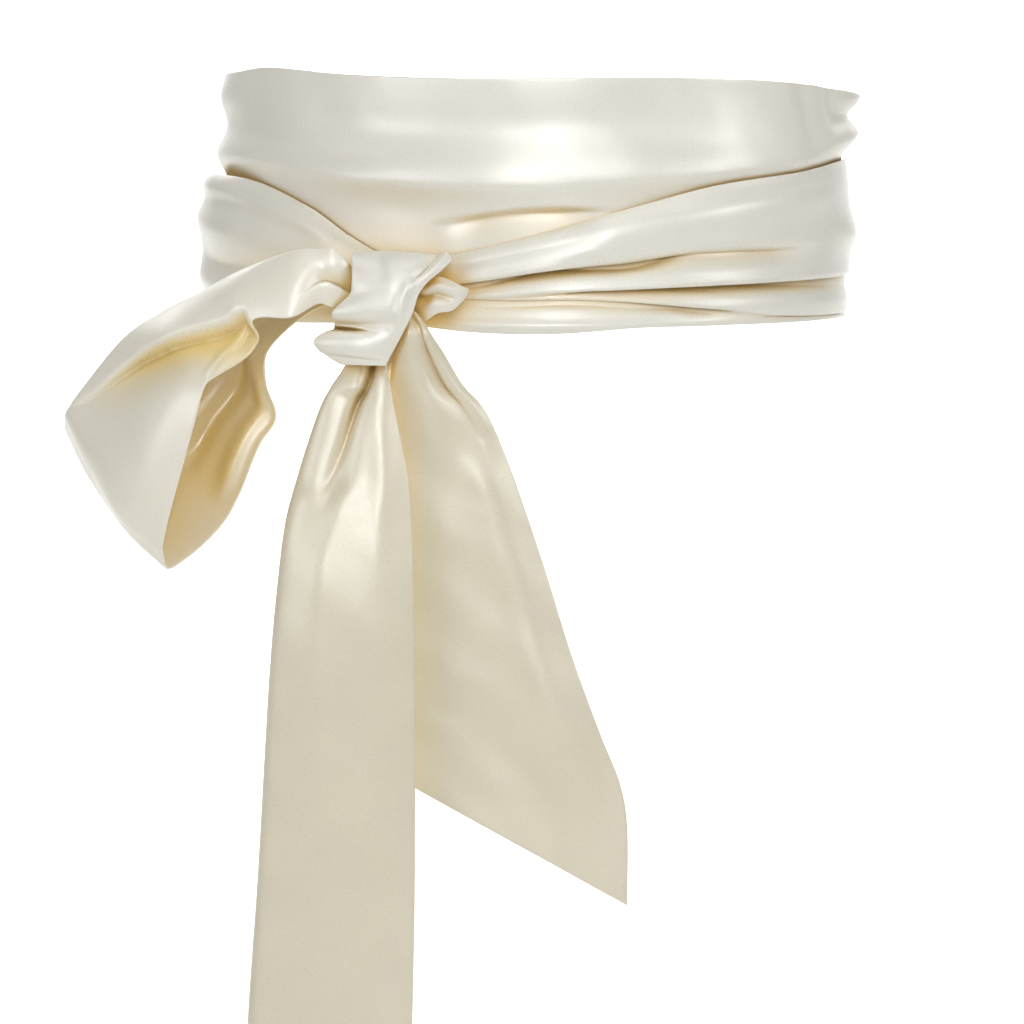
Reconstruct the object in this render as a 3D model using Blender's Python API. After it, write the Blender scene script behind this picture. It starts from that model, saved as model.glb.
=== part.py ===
# Satin sash: one long strip of doubled satin, wound twice round a waist and tied in a half bow
# at the wearer's right. Metres, +Z up, -Y to the front. The origin is the waist's centre.
# Tables are in millimetres and degrees. A turn of 0 is the front, and it grows towards +X.

import math

import bmesh
import bpy

MM = 0.001

# Driving dimensions, in millimetres
WAIST_HALF_WIDTH = 129.5
WAIST_HALF_DEPTH = 97.5
WALL = 1.2
LAYER_GAP = 0.75
SEAM_GAP = 0.4
INNER_OFFSET = 1.0
LAYER_PITCH = WALL + LAYER_GAP

# How finely the strip is divided: degrees a step round the waist, steps from one section of the bow
# to the next, and places across each piece
TURN_STEP = 8.0
FINE_TURN_STEP = 5.5
SECTION_STEPS = 2
PLACES_ACROSS = {
    "front_wrap": 14,
    "back_cross_over": 15,
    "back_cross_under": 15,
    "left_wrap": 11,
    "right_wrap": 21,
    "knot_wrap": 10,
    "knot_neck": 7,
    "bow_loop": 10,
    "long_tail": 16,
    "short_tail": 11,
}
CORE_SUBDIVISIONS = 2

# How the strip rounds off towards its edges where it stands off the layer below, and in the bow.
# A higher power keeps it full for longer
WRAP_BELLY_POWER = 4
BOW_BELLY_POWER = 2
# The share of a fold's length over which it dies away at each end
FOLD_FADE = 0.3
# How far before and after a place, in sections, a ribbon's own direction is read
DIRECTION_STEP = 0.1

# Where the strip passes out of the front view on each side, and where it starts its way round again
SIDE_TURN = 96.0
FULL_TURN = 360.0

# The front wrap: lower and upper edge round the front
EDGE_COLUMNS = ("turn", "bottom", "top")
FRONT_EDGES = (
    (-96, -45.0, 53.5),
    (-75, -45.0, 54.5),
    (-59, -45.0, 56.0),
    (-38, -45.0, 52.7),
    (-12, -45.0, 50.7),
    (20, -45.0, 51.2),
    (50, -45.0, 50.0),
    (76, -45.0, 47.1),
    (96, -45.0, 44.0),
)

# The gathered wraps that lie over it and run down to the knot. Puff is how far they stand off it
WRAP_COLUMNS = EDGE_COLUMNS + ("puff",)
LEFT_EDGES = (
    (-96, -51.0, 9.0, 9.5),
    (-75, -51.3, 10.6, 9.0),
    (-60, -51.3, 7.0, 7.0),
    (-45, -51.3, -3.6, 5.0),
    (-37, -51.0, -13.6, 3.5),
    (-28, -50.0, -24.0, 1.5),
)
RIGHT_EDGES = (
    (96, -50.0, 17.0, 1.5),
    (76, -50.3, 16.5, 2.8),
    (56, -51.4, 11.8, 4.6),
    (35, -52.3, 6.4, 6.0),
    (19, -52.9, -2.3, 6.0),
    (4, -55.3, -11.8, 5.6),
    (-10, -54.9, -20.1, 4.0),
    (-23, -52.0, -26.5, 1.5),
)

# The two stretches that cross behind. Turns run on from -96 on the left to -264 on the right.
# Layer is 0 where a stretch lies on the waist and 1 where it lies on the other one
CROSSING_COLUMNS = WRAP_COLUMNS + ("layer",)
OVER_EDGES = (
    (-96, -45.0, 53.5, 0.0, 0.0),
    (-112, -38.0, 53.0, 0.0, 0.0),
    (-126, -19.0, 52.0, 0.0, 0.0),
    (-140, 1.2, 50.0, 0.0, 0.0),
    (-149, 1.6, 49.0, 1.0, 0.5),
    (-158, 1.8, 46.0, 1.5, 1.0),
    (-180, -28.0, 34.0, 2.0, 1.0),
    (-208, -49.0, 4.0, 2.0, 1.0),
    (-232, -51.0, 8.0, 2.0, 1.0),
    (-264, -50.0, 17.0, 1.5, 1.0),
)
UNDER_EDGES = (
    (-96, -51.0, 9.0, 9.5, 1.0),
    (-112, -51.0, 6.0, 6.0, 1.0),
    (-126, -50.5, 2.0, 2.0, 1.0),
    (-140, -50.0, -1.2, 1.0, 1.0),
    (-149, -49.0, -1.6, 0.5, 0.5),
    (-158, -46.0, -1.8, 0.0, 0.0),
    (-180, -32.0, 30.0, 0.0, 0.0),
    (-208, -12.0, 46.0, 0.0, 0.0),
    (-232, -28.0, 46.0, 0.0, 0.0),
    (-264, -45.0, 44.0, 0.0, 0.0),
)

# The gathers behind: how many lie side by side, their rise, how far their lines drift to and fro,
# in gathers, and how often round the waist, and the turn over which they die away at the sides
CROSSING_GATHERS = 3.5
CROSSING_GATHER_RISE = 1.4
CROSSING_GATHER_DRIFT = 0.25
CROSSING_DRIFT_WAVES = 3.0
CROSSING_FADE_TURN = 24.0
OVER_PHASE, UNDER_PHASE = 0.2, 0.8

# Folds of the wound strip, each along a line through three places. A rise below 0 is a valley
FOLD_COLUMNS = (
    "from_turn", "from_height", "mid_turn", "mid_height", "to_turn", "to_height", "rise", "half_width",
)
FRONT_FOLDS = (
    (-125, 18.0, -85, 20.0, -42, 17.5, 5.2, 8.0),
    (-62, 18.5, -25, 9.0, 14, 6.4, 3.2, 12.0),
    (-4, 6.4, 40, 13.0, 82, 24.0, 3.0, 10.0),
    (60, 21.5, 88, 28.5, 125, 28.0, 7.6, 6.0),
    (-125, 44.0, -92, 44.0, -68, 46.0, 3.6, 9.0),
    (70, 42.0, 90, 44.0, 125, 43.0, 8.2, 6.0),
)
LEFT_FOLDS = (
    (-125, 8.5, -90, 9.5, -58, 4.0, 6.0, 6.5),
    (-125, -6.5, -86, -7.0, -45, -22.0, 2.4, 7.0),
    (-86, -26.0, -62, -28.0, -40, -35.0, -2.6, 6.0),
    (-125, -31.0, -92, -32.0, -66, -34.0, 1.6, 6.0),
)
RIGHT_FOLDS = (
    (-16, -28.0, 20, -8.0, 80, 11.0, 2.0, 5.5),
    (-18, -36.5, 4, -27.5, 24, -22.5, -3.8, 3.2),
    (8, -24.5, 30, -21.5, 60, -20.5, -4.0, 5.0),
    (60, -13.0, 92, -13.5, 125, -13.0, 3.0, 8.0),
    (-16, -40.0, 22, -35.5, 118, -28.5, -4.4, 3.6),
    (-16, -42.0, 17, -41.0, 42, -47.0, -3.2, 3.4),
    (36, -47.0, 56, -48.5, 84, -48.0, -2.6, 3.4),
)

# Ribbons of the bow: each row is a section with the strip's two edges and how far it bellies out
SECTION_COLUMNS = ("x_a", "y_a", "z_a", "x_b", "y_b", "z_b", "belly")
KNOT_WRAP_SECTIONS = (
    (-72.5, -96.0, -23.0, -41.0, -103.0, -25.0, 0.0),
    (-74.0, -104.0, -21.5, -35.0, -108.0, -23.5, 1.0),
    (-76.0, -113.0, -23.0, -35.0, -113.0, -25.0, 1.5),
    (-76.0, -117.5, -28.0, -39.0, -117.5, -29.0, 3.0),
    (-76.0, -119.2, -33.5, -45.0, -120.5, -34.0, 3.5),
    (-77.0, -119.2, -39.0, -48.5, -121.5, -39.0, 4.0),
    (-84.0, -120.0, -46.0, -50.5, -122.5, -45.5, 3.0),
    (-83.5, -116.5, -51.5, -53.0, -122.0, -51.0, 2.0),
    (-91.5, -119.0, -57.5, -57.0, -121.0, -58.5, 4.5),
    (-88.5, -119.0, -62.5, -60.0, -121.0, -64.0, 4.0),
    (-80.5, -119.5, -67.5, -62.0, -121.0, -68.0, 1.5),
)
KNOT_NECK_SECTIONS = (
    (-51.8, -107.5, -46.0, -51.8, -107.5, -36.0, 0.5),
    (-46.0, -110.0, -49.5, -46.0, -111.0, -34.5, 1.5),
    (-41.0, -111.0, -46.5, -41.0, -112.0, -31.5, 2.0),
    (-35.0, -109.5, -45.5, -35.5, -110.5, -33.0, 2.0),
    (-31.5, -107.5, -42.5, -30.5, -108.0, -35.5, 1.0),
    (-29.0, -105.5, -39.5, -28.0, -105.5, -36.5, 0.3),
)
BOW_LOOP_SECTIONS = (
    (-74.6, -113.5, -29.0, -74.8, -115.0, -41.0, 0.5),
    (-83.0, -117.2, -20.5, -83.0, -118.2, -44.0, 2.5),
    (-90.0, -114.0, -20.0, -90.0, -119.0, -42.5, 3.0),
    (-101.5, -112.0, -21.0, -101.0, -125.0, -48.0, 3.0),
    (-124.0, -104.0, -30.0, -116.5, -122.0, -49.0, 4.0),
    (-138.0, -100.0, -37.5, -121.0, -125.0, -61.0, 5.0),
    (-155.0, -97.0, -46.5, -134.5, -132.5, -73.5, 6.0),
    (-171.5, -95.0, -57.5, -140.5, -133.0, -94.0, 6.0),
    (-192.5, -89.0, -83.0, -152.0, -125.0, -135.0, 5.5),
    (-196.5, -83.0, -91.5, -154.0, -117.0, -147.0, 4.4),
    (-194.5, -76.0, -96.0, -150.0, -107.0, -152.0, 4.0),
    (-181.0, -67.0, -82.0, -129.0, -93.0, -133.0, 3.0),
    (-168.0, -66.0, -69.0, -115.5, -89.5, -103.0, 3.5),
    (-158.0, -66.0, -60.0, -108.2, -87.0, -90.5, 4.0),
    (-146.0, -69.5, -51.5, -112.3, -88.0, -76.0, 3.5),
    (-134.0, -75.0, -44.0, -111.0, -88.0, -62.0, 3.0),
    (-102.0, -92.0, -33.0, -93.0, -99.0, -46.0, 2.0),
    (-75.0, -103.5, -31.0, -75.2, -105.5, -41.0, 0.5),
)
LONG_TAIL_SECTIONS = (
    (-74.5, -114.8, -56.0, -61.5, -114.8, -56.5, 0.0),
    (-78.5, -116.0, -67.5, -61.5, -116.5, -69.0, 0.5),
    (-84.0, -118.5, -76.0, -60.0, -119.0, -77.0, 1.5),
    (-89.5, -120.0, -87.0, -58.0, -120.0, -87.0, 2.5),
    (-98.0, -122.0, -113.0, -53.0, -122.0, -113.0, 4.0),
    (-103.0, -125.0, -132.0, -51.5, -124.5, -132.0, 4.5),
    (-106.5, -127.0, -160.0, -50.5, -126.0, -160.0, 5.0),
    (-110.0, -125.5, -200.0, -50.0, -125.0, -200.0, 5.0),
    (-115.0, -119.5, -281.0, -50.0, -119.5, -281.0, 5.0),
    (-119.5, -117.0, -345.0, -51.2, -117.0, -341.0, 5.0),
    (-126.0, -116.0, -474.0, -53.5, -116.0, -428.0, 3.0),
)
SHORT_TAIL_SECTIONS = (
    (-54.4, -114.5, -43.0, -50.0, -113.3, -46.0, 0.0),
    (-55.0, -115.5, -51.0, -45.0, -113.3, -52.5, 0.8),
    (-60.0, -112.5, -62.0, -38.5, -108.5, -62.5, 1.5),
    (-63.0, -110.0, -74.0, -30.5, -105.0, -76.0, 2.0),
    (-65.0, -108.0, -87.0, -20.5, -103.0, -88.0, 3.0),
    (-65.0, -105.0, -110.0, -11.0, -100.5, -110.0, 4.0),
    (-64.0, -102.0, -150.0, 2.5, -99.0, -149.0, 5.0),
    (-62.5, -100.5, -190.0, 15.3, -98.0, -190.0, 5.0),
    (-61.4, -99.8, -213.0, 27.0, -97.3, -222.0, 4.5),
    (-61.0, -99.3, -224.0, 35.3, -97.0, -243.0, 3.5),
    (-60.7, -99.1, -231.0, 38.3, -97.0, -262.0, 2.8),
    (-60.5, -99.0, -239.0, 38.3, -97.0, -294.0, 2.0),
)

# Folds of the ribbons, from one section to another. Across is 0 at edge a and 1 at edge b
CREASE_COLUMNS = ("from_section", "from_across", "to_section", "to_across", "rise", "half_width")
KNOT_WRAP_CREASES = (
    (0.5, 0.88, 4.5, 0.88, 1.2, 3.0),
)
KNOT_NECK_CREASES = ((0.0, 0.55, 3.6, 0.45, -1.8, 2.6),)
BOW_LOOP_CREASES = (
    (0.4, 0.40, 3.2, 0.72, -2.5, 3.5),
    (3.7, 0.55, 7.8, 0.10, -6.5, 6.5),
    (6.5, 0.55, 9.6, 0.45, 2.0, 12.0),
    (10.8, 0.60, 16.2, 0.50, 4.0, 6.0),
)
LONG_TAIL_CREASES = ((0.4, 0.70, 5.0, 0.12, -4.6, 4.0),)
SHORT_TAIL_CREASES = (
    (0.6, 0.68, 5.0, 0.84, -3.2, 3.5),
    (0.8, 0.35, 5.6, 0.55, 2.4, 7.0),
)

# The long tail is rolled back along its edge a: where each share of its cloth lies across the
# visible face, and how deep behind it, as a share of the roll's depth
ROLL_COLUMNS = ("cloth", "across", "depth")
LONG_TAIL_ROLL = (
    (0.00, 0.36, 1.00),
    (0.14, 0.16, 1.00),
    (0.22, 0.04, 0.85),
    (0.27, 0.00, 0.50),
    (0.32, 0.04, 0.12),
    (0.44, 0.20, 0.00),
    (1.00, 1.00, 0.00),
)
LONG_TAIL_ROLL_DEPTHS = (2.8, 3.2, 4.0, 5.0, 6.5, 6.5, 6.5, 6.5, 6.5, 6.5, 6.5)

# The hidden layers inside the knot, as one rounded solid
KNOT_CORE_CENTRE = (-63.5, -105.8, -42.2)
KNOT_CORE_HALF_SIZE = (11.4, 15.0, 18.0)

# Satin: its shine and its colours, as linear values
SATIN_ROUGHNESS = 0.38
IVORY = (0.66, 0.60, 0.47)
COOL_IVORY = (0.66, 0.62, 0.54)
SHADED_IVORY = (0.58, 0.50, 0.35)


def named_rows(table, columns):
    return [dict(zip(columns, row)) for row in table]


def smooth_value(places, values, place):
    """A smooth curve through values at rising places, read at place."""
    last = len(places) - 1
    i = 0
    while i < last - 1 and place > places[i + 1]:
        i += 1

    def slope(k):
        before, after = max(k - 1, 0), min(k + 1, last)
        return (values[after] - values[before]) / (places[after] - places[before])

    span = places[i + 1] - places[i]
    t = min(max((place - places[i]) / span, 0.0), 1.0)
    rest = 1.0 - t
    ends = values[i] * rest * rest * (1 + 2 * t) + values[i + 1] * t * t * (3 - 2 * t)
    bends = slope(i) * t * rest * rest - slope(i + 1) * t * t * rest
    return ends + span * bends


def smooth_step(x):
    x = min(max(x, 0.0), 1.0)
    return x * x * (3.0 - 2.0 * x)


def bump(distance, half_width):
    return math.exp(-((distance / half_width) ** 2))


def fade(t):
    """1 along the middle of a fold, and down to 0 at both of its ends."""
    return smooth_step(t / FOLD_FADE) * smooth_step((1.0 - t) / FOLD_FADE)


def waist_point(turn, height, offset):
    """The place that lies offset outside the waist at this turn and height."""
    a = math.radians(turn)
    x, y = WAIST_HALF_WIDTH * math.sin(a), -WAIST_HALF_DEPTH * math.cos(a)
    nx, ny = WAIST_HALF_DEPTH * math.sin(a), -WAIST_HALF_WIDTH * math.cos(a)
    size = math.hypot(nx, ny)
    return (x + nx / size * offset, y + ny / size * offset, height)


def edges_at(table, turn):
    rows = sorted(table, key=lambda row: row["turn"])
    turns = [row["turn"] for row in rows]
    return {key: smooth_value(turns, [row[key] for row in rows], turn) for key in rows[0]}


def folds_at(folds, turn, height):
    """The sum of what the folds of one stretch add to its offset."""
    total = 0.0
    for fold in folds:
        span = fold["to_turn"] - fold["from_turn"]
        t = (turn - fold["from_turn"]) / span
        if 0.0 < t < 1.0:
            turns = (fold["from_turn"], fold["mid_turn"], fold["to_turn"])
            heights = (fold["from_height"], fold["mid_height"], fold["to_height"])
            middle = smooth_value(turns, heights, turn)
            total += fold["rise"] * fade(t) * bump(height - middle, fold["half_width"])
    return total


def belly(across, power):
    """1 in the middle of the strip and 0 at its edges."""
    return 1.0 - abs(2.0 * across - 1.0) ** power


def front_offset(turn, height):
    return INNER_OFFSET + folds_at(front_folds, turn, height)


def outer_extra(edges, folds, turn, height, across):
    """How far an outer wrap stands off the layer below it. Its valleys stop at that layer."""
    extra = edges["puff"] * belly(across, WRAP_BELLY_POWER) + folds_at(folds, turn, height)
    return max(extra, 0.0)


def gathers(turn, across, phase):
    """The small folds where the strip is drawn together behind."""
    from_left, from_right = abs(turn) - SIDE_TURN, FULL_TURN - SIDE_TURN - abs(turn)
    reach = smooth_step(from_left / CROSSING_FADE_TURN) * smooth_step(from_right / CROSSING_FADE_TURN)
    drift = CROSSING_GATHER_DRIFT * math.sin(math.radians(CROSSING_DRIFT_WAVES * turn) + phase)
    gather = CROSSING_GATHERS * across + drift + phase
    return CROSSING_GATHER_RISE * reach * (1.0 - math.cos(2.0 * math.pi * gather)) / 2.0


def crossing_offset(own, other, side_folds, turn, height, across, phase):
    """The offset of one stretch behind, which lies on the waist or on the other stretch."""
    edges, other_edges = edges_at(own, turn), edges_at(other, turn)
    near_turn = turn if turn > -FULL_TURN / 2 else turn + FULL_TURN
    lying = front_offset(near_turn, height) + gathers(turn, across, phase)
    other_across = (height - other_edges["bottom"]) / (other_edges["top"] - other_edges["bottom"])
    other_across = min(max(other_across, 0.0), 1.0)
    below = front_offset(near_turn, height) + gathers(turn, other_across, 1.0 - phase)
    extra = outer_extra(edges, side_folds, near_turn, height, across)
    crossing = below + LAYER_PITCH + extra + gathers(turn, across, phase)
    return lying + (crossing - lying) * edges["layer"]


def place_object(name, mesh, material):
    mesh.materials.append(material)
    mesh.shade_smooth()
    obj = bpy.data.objects.new(name, mesh)
    bpy.context.scene.collection.objects.link(obj)
    return obj


def satin(name, colour):
    material = bpy.data.materials.new(name)
    material.use_nodes = True
    shader = material.node_tree.nodes["Principled BSDF"]
    shader.inputs["Base Color"].default_value = (*colour, 1.0)
    shader.inputs["Roughness"].default_value = SATIN_ROUGHNESS
    shader.inputs["Metallic"].default_value = 0.0
    return material


def cloth(name, grid, material):
    """A wall of the strip's thickness through a grid of places, as one named object."""
    bm = bmesh.new()
    rows = [[bm.verts.new([c * MM for c in place]) for place in row] for row in grid]
    for row, below in zip(rows, rows[1:]):
        for k in range(len(row) - 1):
            bm.faces.new((row[k], row[k + 1], below[k + 1], below[k]))
    mesh = bpy.data.meshes.new(name)
    bm.to_mesh(mesh)
    bm.free()
    obj = place_object(name, mesh, material)
    solidify = obj.modifiers.new("Cloth wall", "SOLIDIFY")
    solidify.thickness = WALL * MM
    solidify.offset = 0.0
    return obj


def stretch(name, table, first, last, step, offset, material):
    """One stretch of the wound strip. Its offset is a function of turn, height and across."""
    count = max(2, math.ceil(abs(last - first) / step))
    columns = PLACES_ACROSS[name]
    grid = []
    for i in range(count + 1):
        turn = first + (last - first) * i / count
        edges = edges_at(table, turn)
        row = []
        for k in range(columns):
            across = k / (columns - 1)
            height = edges["bottom"] + (edges["top"] - edges["bottom"]) * across
            row.append(waist_point(turn, height, offset(turn, height, across)))
        grid.append(row)
    return cloth(name, grid, material)


def cross(a, b):
    return (a[1] * b[2] - a[2] * b[1], a[2] * b[0] - a[0] * b[2], a[0] * b[1] - a[1] * b[0])


def unit(a):
    size = math.sqrt(sum(c * c for c in a))
    return tuple(c / size for c in a)


def section_at(sections, place):
    numbers = list(range(len(sections)))
    return {key: smooth_value(numbers, [row[key] for row in sections], place) for key in SECTION_COLUMNS}


def creases_at(creases, place, across, width):
    """What the creases of a ribbon add to its belly at one place of a section."""
    total = 0.0
    for crease in creases:
        t = (place - crease["from_section"]) / (crease["to_section"] - crease["from_section"])
        if 0.0 < t < 1.0:
            middle = crease["from_across"] + (crease["to_across"] - crease["from_across"]) * t
            total += crease["rise"] * fade(t) * bump((across - middle) * width, crease["half_width"])
    return total


def ribbon(name, sections, creases, material, roll=None, roll_depths=None):
    """A free stretch of the strip, lofted through its sections."""
    last = len(sections) - 1
    columns = PLACES_ACROSS[name]
    grid = []
    for i in range(last * SECTION_STEPS + 1):
        place = i / SECTION_STEPS
        here = section_at(sections, place)
        before = section_at(sections, max(place - DIRECTION_STEP, 0.0))
        after = section_at(sections, min(place + DIRECTION_STEP, last))
        a, b = (here["x_a"], here["y_a"], here["z_a"]), (here["x_b"], here["y_b"], here["z_b"])
        width = math.dist(a, b)
        grid_row = []
        for k in range(columns):
            share = k / (columns - 1)
            across, depth = share, 0.0
            if roll:
                cloth_shares = [row["cloth"] for row in roll]
                across = smooth_value(cloth_shares, [row["across"] for row in roll], share)
                depth = smooth_value(cloth_shares, [row["depth"] for row in roll], share)
                depth *= smooth_value(list(range(last + 1)), roll_depths, place)
            chord = tuple(q - p for p, q in zip(a, b))
            run = tuple(
                (after[f"{axis}_a"] - before[f"{axis}_a"]) * (1.0 - across)
                + (after[f"{axis}_b"] - before[f"{axis}_b"]) * across
                for axis in "xyz"
            )
            out = unit(cross(run, chord))
            lift = here["belly"] * belly(across, BOW_BELLY_POWER) - depth
            lift += creases_at(creases, place, across, width)
            grid_row.append(tuple(p + c * across + n * lift for p, c, n in zip(a, chord, out)))
        grid.append(grid_row)
    return cloth(name, grid, material)


def rounded_solid(name, centre, half_size, material):
    bm = bmesh.new()
    bmesh.ops.create_icosphere(bm, subdivisions=CORE_SUBDIVISIONS, radius=1.0)
    for vert in bm.verts:
        vert.co = [(c + v * h) * MM for c, v, h in zip(centre, vert.co, half_size)]
    mesh = bpy.data.meshes.new(name)
    bm.to_mesh(mesh)
    bm.free()
    return place_object(name, mesh, material)


for old in list(bpy.data.objects):
    bpy.data.objects.remove(old, do_unlink=True)

front_edges = named_rows(FRONT_EDGES, EDGE_COLUMNS)
left_edges = named_rows(LEFT_EDGES, WRAP_COLUMNS)
right_edges = named_rows(RIGHT_EDGES, WRAP_COLUMNS)
over_edges = named_rows(OVER_EDGES, CROSSING_COLUMNS)
under_edges = named_rows(UNDER_EDGES, CROSSING_COLUMNS)
front_folds = named_rows(FRONT_FOLDS, FOLD_COLUMNS)
left_folds = named_rows(LEFT_FOLDS, FOLD_COLUMNS)
right_folds = named_rows(RIGHT_FOLDS, FOLD_COLUMNS)
SEAM_TURN = math.degrees(0.5 * SEAM_GAP / WAIST_HALF_DEPTH)
LEFT_SIDE, RIGHT_SIDE = -SIDE_TURN, SIDE_TURN - FULL_TURN


def left_offset(turn, height, across):
    edges = edges_at(left_edges, turn)
    below = front_offset(turn, height)
    return below + LAYER_PITCH + outer_extra(edges, left_folds, turn, height, across)


def right_offset(turn, height, across):
    edges = edges_at(right_edges, turn)
    below = front_offset(turn, height)
    return below + LAYER_PITCH + outer_extra(edges, right_folds, turn, height, across)


def over_offset(turn, height, across):
    return crossing_offset(over_edges, under_edges, right_folds, turn, height, across, OVER_PHASE)


def under_offset(turn, height, across):
    return crossing_offset(under_edges, over_edges, left_folds, turn, height, across, UNDER_PHASE)


# The wound strip
stretch(
    "front_wrap", front_edges, -SIDE_TURN + SEAM_TURN, SIDE_TURN - SEAM_TURN, TURN_STEP,
    lambda turn, height, across: front_offset(turn, height), satin("Front satin", IVORY),
)
stretch(
    "back_cross_over", over_edges, RIGHT_SIDE + SEAM_TURN, LEFT_SIDE - SEAM_TURN, FINE_TURN_STEP,
    over_offset, satin("Back satin", COOL_IVORY),
)
stretch(
    "back_cross_under", under_edges, RIGHT_SIDE + SEAM_TURN, LEFT_SIDE - SEAM_TURN, FINE_TURN_STEP,
    under_offset, satin("Under satin", SHADED_IVORY),
)
stretch(
    "left_wrap", left_edges, -SIDE_TURN + SEAM_TURN, left_edges[-1]["turn"], FINE_TURN_STEP,
    left_offset, satin("Left satin", COOL_IVORY),
)
stretch(
    "right_wrap", right_edges, right_edges[-1]["turn"], SIDE_TURN - SEAM_TURN, FINE_TURN_STEP,
    right_offset, satin("Right satin", IVORY),
)

# The half bow
rounded_solid("knot_core", KNOT_CORE_CENTRE, KNOT_CORE_HALF_SIZE, satin("Core satin", SHADED_IVORY))
ribbon(
    "knot_wrap", named_rows(KNOT_WRAP_SECTIONS, SECTION_COLUMNS),
    named_rows(KNOT_WRAP_CREASES, CREASE_COLUMNS), satin("Knot satin", IVORY),
)
ribbon(
    "knot_neck", named_rows(KNOT_NECK_SECTIONS, SECTION_COLUMNS),
    named_rows(KNOT_NECK_CREASES, CREASE_COLUMNS), satin("Neck satin", SHADED_IVORY),
)
ribbon(
    "bow_loop", named_rows(BOW_LOOP_SECTIONS, SECTION_COLUMNS),
    named_rows(BOW_LOOP_CREASES, CREASE_COLUMNS), satin("Loop satin", IVORY),
)
ribbon(
    "long_tail", named_rows(LONG_TAIL_SECTIONS, SECTION_COLUMNS),
    named_rows(LONG_TAIL_CREASES, CREASE_COLUMNS), satin("Long tail satin", IVORY),
    named_rows(LONG_TAIL_ROLL, ROLL_COLUMNS), LONG_TAIL_ROLL_DEPTHS,
)
ribbon(
    "short_tail", named_rows(SHORT_TAIL_SECTIONS, SECTION_COLUMNS),
    named_rows(SHORT_TAIL_CREASES, CREASE_COLUMNS), satin("Short tail satin", SHADED_IVORY),
)
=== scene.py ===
import math

import bpy
import numpy as np
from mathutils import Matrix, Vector


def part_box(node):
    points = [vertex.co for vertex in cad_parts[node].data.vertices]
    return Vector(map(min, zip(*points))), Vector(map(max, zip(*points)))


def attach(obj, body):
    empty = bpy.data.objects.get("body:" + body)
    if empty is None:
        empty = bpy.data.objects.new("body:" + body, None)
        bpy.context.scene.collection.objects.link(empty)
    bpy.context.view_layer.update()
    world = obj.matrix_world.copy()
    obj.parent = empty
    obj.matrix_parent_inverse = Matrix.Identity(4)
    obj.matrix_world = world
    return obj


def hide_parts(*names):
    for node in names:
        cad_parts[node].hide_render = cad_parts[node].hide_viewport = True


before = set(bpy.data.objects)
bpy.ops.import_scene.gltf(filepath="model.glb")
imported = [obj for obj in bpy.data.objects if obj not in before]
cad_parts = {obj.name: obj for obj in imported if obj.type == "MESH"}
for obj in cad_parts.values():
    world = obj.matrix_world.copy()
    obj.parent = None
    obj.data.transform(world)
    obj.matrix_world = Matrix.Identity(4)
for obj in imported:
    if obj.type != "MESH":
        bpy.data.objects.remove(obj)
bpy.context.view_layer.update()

mm = 0.001

# Height of the band's front, from the solid's own box
frontLow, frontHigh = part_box("front_wrap")
print("satin sash: frame loaded, band from", round(frontLow[2], 4), "to", round(frontHigh[2], 4))

# What a user would change about the cloth as a whole. Lengths in millimetres
strip = {
    "width": 100.0,
    "thickness": 0.9,        # both layers of satin
    "rimRadius": 0.6,        # how far in from an edge the rounding starts
    "seamThickness": 1.15,   # with the seam allowance inside, along both edges
    "seamWidth": 5.0,
    "pucker": 0.07,          # small waves where the seam draws the cloth in
    "puckerPitch": 2.3,
    "puckerReach": 4.0,
    "puckerFade": 1.5,       # none of it on the very rim
    "waistHalfWidth": 129.5,
    "waistHalfDepth": 97.5,
    "firstLayer": 1.0,       # mid-surface off the waist
    "layerPitch": 1.95,
}


# Small helpers, all on arrays. This one is a smooth curve through the values, read at many places
def curveThrough(places, values, at):
    places, values = np.asarray(places, float), np.asarray(values, float)
    at = np.clip(at, places[0], places[-1])
    number = np.arange(len(places))
    before, after = np.maximum(number - 1, 0), np.minimum(number + 1, len(places) - 1)
    slopes = (values[after] - values[before]) / (places[after] - places[before])
    i = np.clip(np.searchsorted(places, at, side="right") - 1, 0, len(places) - 2)
    span = places[i + 1] - places[i]
    t = (at - places[i]) / span
    rest = 1 - t
    ends = values[i] * rest * rest * (1 + 2 * t) + values[i + 1] * t * t * (3 - 2 * t)
    return ends + span * (slopes[i] * t * rest * rest - slopes[i + 1] * t * t * rest)


def smoothStep(x):
    x = np.clip(x, 0, 1)
    return x * x * (3 - 2 * x)


def fadeEnds(t, start=0.3, end=0.3):
    return smoothStep(t / start) * smoothStep((1 - t) / end)


# 1 over most of the strip's width and less towards both edges. The power says how late it falls
def insideEdges(across, power, full=1.0):
    return np.clip(full - np.abs(2 * across - 1) ** power, 0, 1)


# Round hill whose two flanks have their own widths
def lopsidedBump(distance, widthAbove, widthBelow):
    return np.exp(-(distance / np.where(distance > 0, widthAbove, widthBelow)) ** 2)


# Slow uneven waves, about -1 to 1, for cloth that is never quite smooth. Each wave has its length as
# a share of the size, and the way it runs in radians
rippleWaves = ((1.0, 0.3), (0.57, 1.4), (0.33, -0.7), (1.7, 2.2))
rippleShift = 1.7


def softRipple(along, across, size, seed):
    total = 0
    for k, (stretch, turn) in enumerate(rippleWaves):
        a = along / (size * stretch) * math.cos(turn) + across / (size * stretch) * math.sin(turn)
        total = total + np.sin(2 * np.pi * a + seed * (k + rippleShift))
    return total / len(rippleWaves)


# Distances along one direction: fine at both rims, and between them as fine as the zones say.
# A zone is a share of the length and the step there, in mm
rimSteps = np.array([0.0, 0.05, 0.18, 0.4, 0.8])
rimGap = 0.3
lengthSamples = 3000
widthSamples = 9
fewestSteps = 6


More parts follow.
